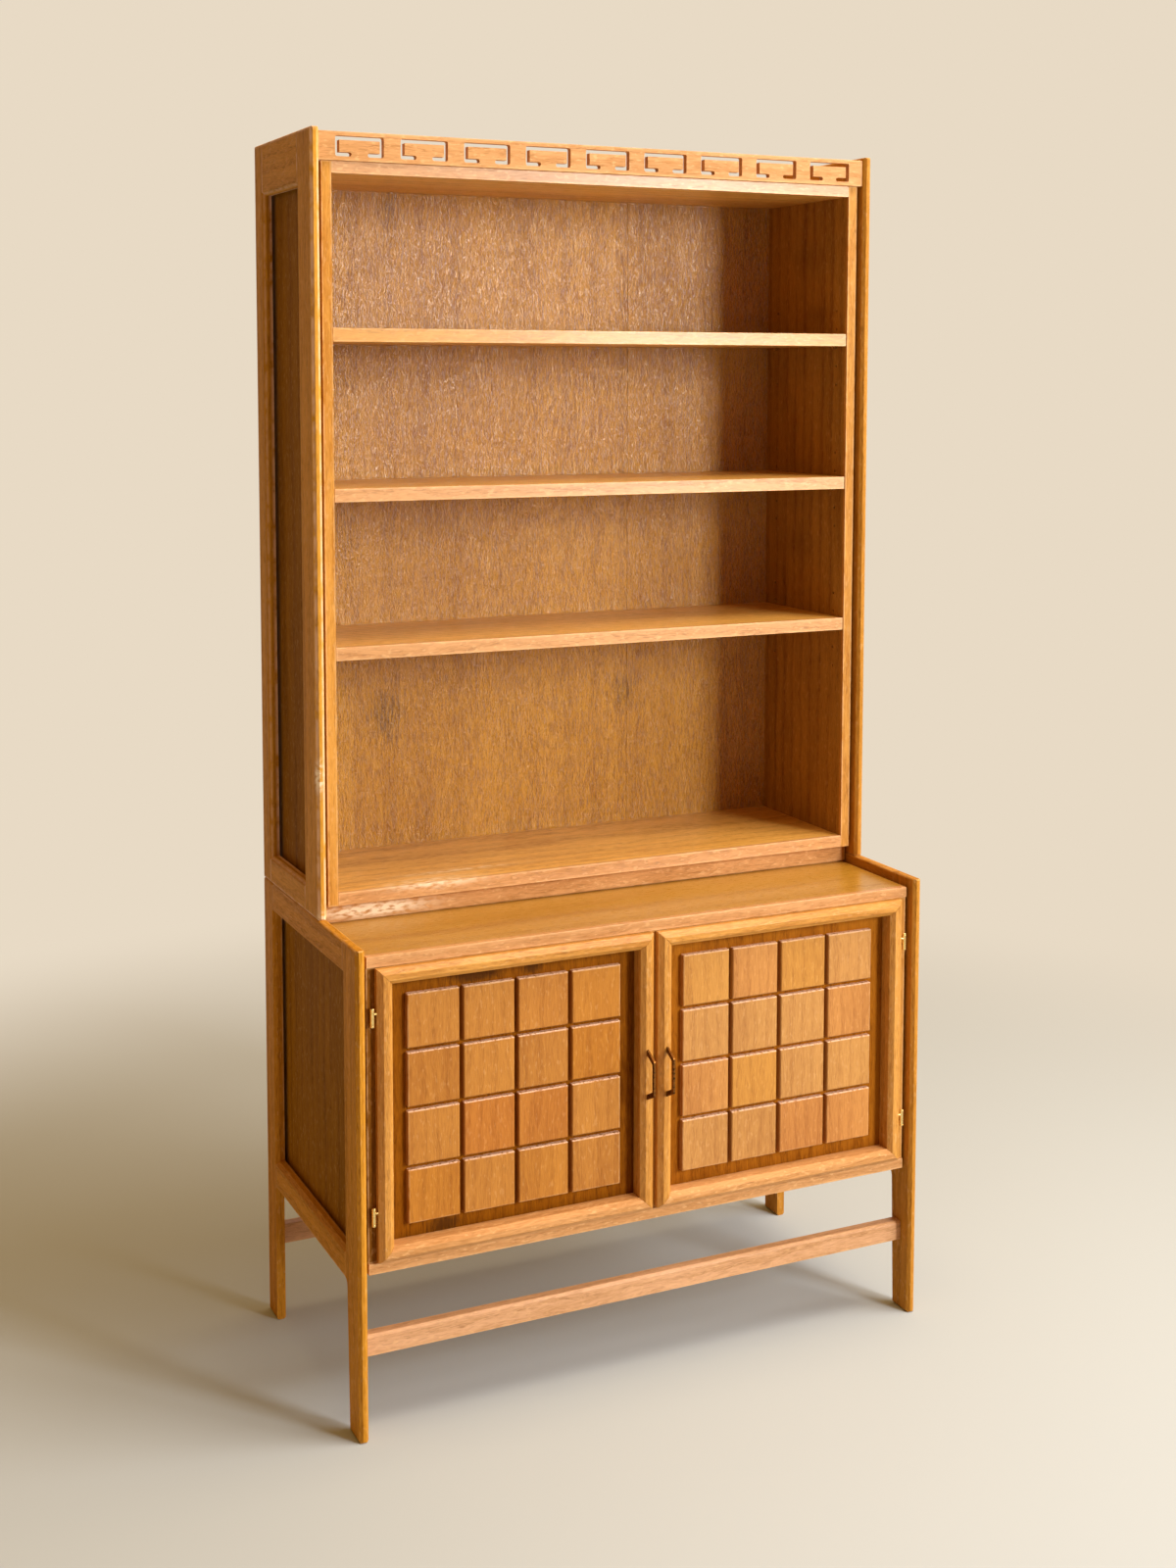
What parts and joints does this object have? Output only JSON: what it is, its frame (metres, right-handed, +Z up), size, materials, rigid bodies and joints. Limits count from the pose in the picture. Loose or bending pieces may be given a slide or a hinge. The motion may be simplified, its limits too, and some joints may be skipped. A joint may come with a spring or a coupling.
{
  "type": "bookshelf cabinet",
  "caption": "Tall wooden bookshelf cabinet: open shelves over a deeper cupboard with tiled doors, open side frames, a key frieze and a stretcher base.",
  "frame": {"origin": "on the floor, under the middle of the bounding box with the doors closed", "axes": "+Z up, the front with the doors faces -Y, +X to the right seen from the front"},
  "size_m": [1, 0.511, 1.975],
  "materials": {
    "frame_wood": "oiled oak, satin",
    "case_wood": "oak veneer with solid lippings, satin",
    "board_wood": "oak veneer with solid lippings, satin",
    "shelf_wood": "oak veneer with solid lippings, satin",
    "back_wood": "oak veneer, satin",
    "frieze_wood": "solid oak, satin",
    "door_wood": "solid oak, satin",
    "panel_wood": "oak veneer, satin",
    "tile_wood": "solid oak tiles, satin",
    "hidden_wood": "plain wood, unfinished",
    "hinge_brass": "polished, lightly worn",
    "handle_brass": "darkened, edges rubbed bright",
    "catch_plastic": "moulded, matte",
    "pin_brass": "satin"
  },
  "bodies": {
    "cabinet": {"base_left_front_leg": "frame_wood", "base_left_back_leg": "frame_wood", "base_left_top_rail": "frame_wood", "base_left_bottom_rail": "frame_wood", "upper_left_front_stile": "frame_wood", "upper_left_back_stile": "frame_wood", "upper_left_top_rail": "frame_wood", "upper_left_bottom_rail": "frame_wood", "base_left_side": "case_wood", "upper_left_side": "case_wood", "base_left_face_stile": "board_wood", "base_right_front_leg": "frame_wood", "base_right_back_leg": "frame_wood", "base_right_top_rail": "frame_wood", "base_right_bottom_rail": "frame_wood", "upper_right_front_stile": "frame_wood", "upper_right_back_stile": "frame_wood", "upper_right_top_rail": "frame_wood", "upper_right_bottom_rail": "frame_wood", "base_right_side": "case_wood", "upper_right_side": "case_wood", "base_right_face_stile": "board_wood", "base_centre_post": "board_wood", "base_face_rails": "board_wood", "base_top_board": "board_wood", "base_bottom_board": "board_wood", "base_partition": "case_wood", "base_back_panel": "back_wood", "base_shelves": "shelf_wood", "front_stretcher": "frame_wood", "back_stretcher": "frame_wood", "frame_spacers": "hidden_wood", "shelf_pins": "pin_brass", "case_hinges": "hinge_brass", "door_catches": "catch_plastic", "upper_top_board": "board_wood", "upper_bottom_board": "board_wood", "upper_back_panel": "back_wood", "upper_plinth": "frame_wood", "frieze": "frieze_wood", "shelf_1": "shelf_wood", "shelf_2": "shelf_wood", "shelf_3": "shelf_wood"},
    "left_door": {"left_door_hinge_stile": "door_wood", "left_door_meeting_stile": "door_wood", "left_door_top_rail": "door_wood", "left_door_bottom_rail": "door_wood", "left_door_panel": "panel_wood", "left_door_tiles": "tile_wood", "left_door_handle": "handle_brass", "left_door_hardware": "hinge_brass"},
    "right_door": {"right_door_hinge_stile": "door_wood", "right_door_meeting_stile": "door_wood", "right_door_top_rail": "door_wood", "right_door_bottom_rail": "door_wood", "right_door_panel": "panel_wood", "right_door_tiles": "tile_wood", "right_door_handle": "handle_brass", "right_door_hardware": "hinge_brass"}
  },
  "joints": [
    {"name": "left_door_hinge", "type": "hinge", "parent": "cabinet", "child": "left_door", "pos_m": [-0.472, -0.2215, 0.4985], "axis": [0, 0, -1], "range_deg": [0, 95]},
    {"name": "right_door_hinge", "type": "hinge", "parent": "cabinet", "child": "right_door", "pos_m": [0.472, -0.2215, 0.4985], "axis": [0, 0, 1], "range_deg": [0, 95]}
  ]
}
